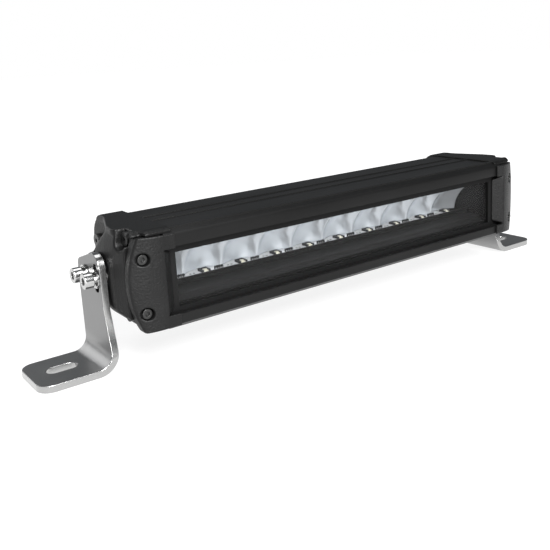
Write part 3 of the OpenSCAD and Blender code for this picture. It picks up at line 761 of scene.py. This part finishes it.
def split_washers():
    """Two spring washers: a square wire wound once round, its ends cut apart."""
    tree = Tree("split_washers", {
        "Radius": "Float", "Wire Width": "Float", "Wire Height": "Float", "Rise": "Float",
        "First": "Vector", "Step": "Vector", "Material": "Material"})
    turn = tree.node("GeometryNodeCurveSpiral", {
        "Resolution": 40, "Rotations": 0.965, "Start Radius": tree.size("Radius"),
        "End Radius": tree.size("Radius"), "Height": tree.size("Rise")})
    wire = tree.node("GeometryNodeCurvePrimitiveQuadrilateral", {
        "Width": tree.size("Wire Width"), "Height": tree.size("Wire Height")})
    ring = tree.node("GeometryNodeCurveToMesh", {"Curve": turn, "Profile Curve": wire, "Fill Caps": True})
    laid = tree.node("GeometryNodeTransform", {"Geometry": ring, "Rotation": (0.6, math.pi / 2, 0)})
    spots = tree.node("GeometryNodeMeshLine", {
        "Count": 2, "Start Location": tree.size("First"), "Offset": tree.size("Step")})
    return tree.close(tree.node("GeometryNodeInstanceOnPoints", {"Points": spots, "Instance": laid}))


def metres(*sizes):
    return tuple(float(s) * MM for s in sizes)


ROWS = block_row()
WASHERS = split_washers()


def board_marks(name, finish, count, pitch, x, y, size, rows=cup_count):
    """Small parts on the light board, the same beside every cup.

    The size is a block's three sides and the height of its middle above the board.
    """
    first = -(cup_count - 1) / 2 * cup_pitch + x - (count - 1) / 2 * pitch
    mesh = ROWS.grow(
        name, finish, Rows=rows, Row_Pitch=cup_pitch * MM, Blocks=count, Block_Pitch=pitch * MM,
        Place=metres(first, y, board_top + size[3]), Block_Size=metres(*size[:3]))
    return finish_piece(name, mesh, LAMP, finish, smooth=False)


board_marks("led_frames", FINISH["parts"], 2, 4.6, 0, led_y + 0.2, (1.1, 5.0, 1.5, 0.75))
board_marks("led_bars", FINISH["parts"], 1, 1, 0, led_y + 3.2, (5.7, 1.0, 1.5, 0.75))
lands = cup_count - 1
land_x = cup_pitch / 2
board_marks("resistor_bodies", FINISH["parts"], 4, 1.6, land_x - 4, led_y - 1, (0.9, 1.5, 2, 1), lands)
board_marks("resistor_ends", FINISH["steel"], 4, 1.6, land_x - 4, led_y - 2, (0.9, 0.4, 1.2, 0.6), lands)
board_marks("test_pads", FINISH["dark_steel"], 2, 2.4, 5 - land_x, led_y + 0.8, (1.1, 1.1, 0.16, 0.08))

for side in SIDES:
    low, high = span("spring_washers_" + side)
    thickness = high.x - low.x
    outer = (high.z - low.z) / 2
    wide = outer * 0.34
    middle = (low.x + high.x) / 2
    mesh = WASHERS.grow(
        "split_washers_" + side, FINISH["steel"], Radius=(outer - wide / 2) * MM, Wire_Width=wide * MM,
        Wire_Height=thickness * 0.7 * MM, Rise=thickness * 0.25 * MM,
        First=metres(middle - thickness * 0.13, low.y + outer, pivot_z),
        Step=metres(0, high.y - low.y - 2 * outer, 0))
    finish_piece("split_washers_" + side, mesh, frame["nodes"]["spring_washers_" + side]["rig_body"],
                 FINISH["steel"], ["spring_washers_" + side], smooth=False)


# ---- Nodes that keep their shape, with their edges broken ----

bend_end = 14.0                         # where a bracket's bend is over, from its corner


def polish_cut_edges(bracket):
    """Gives the sheared edges of the sheet their brighter finish."""
    mesh = bracket.data
    mesh.materials.append(FINISH["edge"])
    upright_x = min(abs(v.co.x) for v in mesh.vertices)
    for face in mesh.polygons:
        normal = face.normal
        if face.center.z > bend_end * MM:
            cut = abs(normal.x) < 0.5
        elif abs(face.center.x) > upright_x + bend_end * MM:
            cut = abs(normal.z) < 0.5
        else:
            cut = abs(normal.y) > 0.6
        face.material_index = int(cut)


softened("housing", 0.25, FINISH["extrusion"], "ribbed_housing")
for side in SIDES:
    polish_cut_edges(softened(
        "bracket_" + side, 0.35, FINISH["plate"], "bent_bracket_" + side, 3))
    for kind in ("pivot_screw_", "clamp_screw_"):
        softened(kind + side, 0.35, FINISH["steel"], kind + "machined_" + side, 3)
    softened("cover_screws_" + side, 0.25, FINISH["dark_steel"], "cover_screw_pair_" + side)

KEPT = {
    "lens": "lens", "lens_seal": "rubber", "light_board": "board", "leds": "phosphor",
    "light_board_screws": "steel", "thermal_pad": "pad", "lower_bezel": "inside",
    "side_trim_left": "inside", "side_trim_right": "inside", "driver_board": "green",
    "driver_parts": "parts", "driver_pillars": "steel", "internal_leads": "lead",
    "cable_gland": "nylon", "gland_nut": "steel", "gland_seal": "rubber", "vent_plug": "nylon",
    "cap_gasket_left": "rubber", "cap_gasket_right": "rubber", "cap_screws_left": "dark_steel",
    "cap_screws_right": "dark_steel", "inserts_left": "brass", "inserts_right": "brass",
    "flat_washers_left": "steel", "flat_washers_right": "steel",
}
for node, finish in KEPT.items():
    mesh = frame["nodes"][node].data
    mesh.materials.clear()
    mesh.materials.append(FINISH[finish])


# ---- Room, light and camera ----


def floor():
    """White paper that glows a little, so that it stays white away from the lamp."""
    reach = 6.0
    corners = [(-reach, -reach, 0), (reach, -reach, 0), (reach, reach, 0), (-reach, reach, 0)]
    mesh = bpy.data.meshes.new("floor")
    mesh.from_pydata(corners, [], [(0, 1, 2, 3)])
    made = bpy.data.objects.new("floor", mesh)
    bpy.context.scene.collection.objects.link(made)
    made.location.z = -0.0002
    paper = Finish("white_paper", grey(0.2), 0.9, Emission_Strength=1.0, Specular_IOR_Level=0)
    apart = paper.node("ShaderNodeVectorMath", {"operation": "LENGTH"}, {0: paper.places}, output=1)
    paper.set("Emission Color", paper.ramp(apart, [(0.25, grey(0.85)), (0.7, grey(1.0))]))
    mesh.materials.append(paper.material)


def softbox(name, place, aim, width, height, power):
    light = bpy.data.lights.new(name, "AREA")
    light.shape = "RECTANGLE"
    light.size = width
    light.size_y = height
    light.energy = power
    made = bpy.data.objects.new(name, light)
    made.location = place
    made.rotation_euler = (Vector(aim) - Vector(place)).to_track_quat("-Z", "Y").to_euler()
    bpy.context.scene.collection.objects.link(made)


def room():
    """Dim light from all round, and a white background behind the floor."""
    world = bpy.data.worlds.new("studio")
    bpy.context.scene.world = world
    world.use_nodes = True
    tree = world.node_tree
    back = tree.nodes["Background"]
    seen = tree.nodes.new("ShaderNodeBackground")
    seen.inputs["Color"].default_value = (1, 1, 1, 1)
    seen.inputs["Strength"].default_value = 1.0
    back.inputs["Color"].default_value = (0.9, 0.95, 1, 1)
    back.inputs["Strength"].default_value = 0.16
    path = tree.nodes.new("ShaderNodeLightPath")
    mix = tree.nodes.new("ShaderNodeMixShader")
    tree.links.new(path.outputs["Is Camera Ray"], mix.inputs["Fac"])
    tree.links.new(back.outputs[0], mix.inputs[1])
    tree.links.new(seen.outputs[0], mix.inputs[2])
    tree.links.new(mix.outputs[0], tree.nodes["World Output"].inputs["Surface"])


def camera():
    """Looks along the bar from its front left corner, a little above it."""
    azimuth = math.radians(36.26)
    elevation = math.radians(12.82)
    roll = math.radians(2.91)
    ahead = math.cos(elevation)
    forward = Vector((math.sin(azimuth) * ahead, math.cos(azimuth) * ahead, -math.sin(elevation)))
    level = forward.cross(Vector((0, 0, 1))).normalized()
    upright = level.cross(forward)
    right = level * math.cos(roll) - upright * math.sin(roll)
    up = right.cross(forward)
    data = bpy.data.cameras.new("camera")
    data.sensor_width = 36
    data.lens = 49.36
    data.shift_x = -0.0288
    data.shift_y = -0.1065
    data.clip_start = 0.01
    made = bpy.data.objects.new("camera", data)
    turn = Matrix((right, up, -forward)).transposed().to_4x4()
    made.matrix_world = Matrix.Translation((-0.3058, -0.3787, 0.1676)) @ turn
    bpy.context.scene.collection.objects.link(made)
    bpy.context.scene.camera = made


floor()
room()
softbox("top_softbox", (0.0, 0.4, 1.5), (0, 0, 0), 1.2, 0.8, 8)
softbox("front_softbox", (-0.3, -1.05, 0.95), (0, 0, 0.05), 0.9, 0.7, 56)
softbox("back_softbox", (-0.7, 1.4, 0.6), (0, 0, 0.05), 1.4, 0.9, 7)
softbox("left_softbox", (-0.75, -1.2, 0.12), (0, 0, 0.05), 0.4, 0.3, 9)
camera()
bpy.context.scene.view_settings.view_transform = "Standard"
